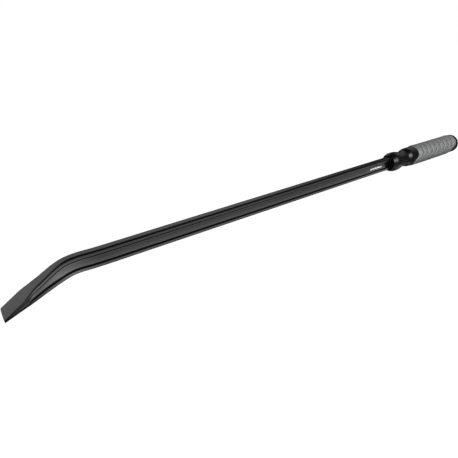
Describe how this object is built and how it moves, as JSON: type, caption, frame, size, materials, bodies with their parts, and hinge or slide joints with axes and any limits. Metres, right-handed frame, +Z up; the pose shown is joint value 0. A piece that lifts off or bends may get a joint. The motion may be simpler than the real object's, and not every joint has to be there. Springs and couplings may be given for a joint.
{
  "type": "pry bar",
  "caption": "Long forged pry bar with a bent flat chisel blade, an I-section shank, a moulded handle with a soft ribbed grip, and a steel strike cap.",
  "frame": {"origin": "middle of the footprint on the floor, with the chisel edge and the back of the grip resting on it", "axes": "+X from the chisel edge towards the strike cap, +Z up, and the bar is symmetric about the XZ plane"},
  "size_m": [0.9158, 0.0394, 0.0477],
  "materials": {
    "black_steel": "satin",
    "black_plastic": "satin",
    "grey_rubber": "matte",
    "cap_steel": "satin"
  },
  "bodies": {
    "root": {"forged_bar": "black_steel", "handle_core": "black_plastic", "grip_sleeve": "grey_rubber", "strike_cap": "cap_steel"}
  },
  "joints": []
}
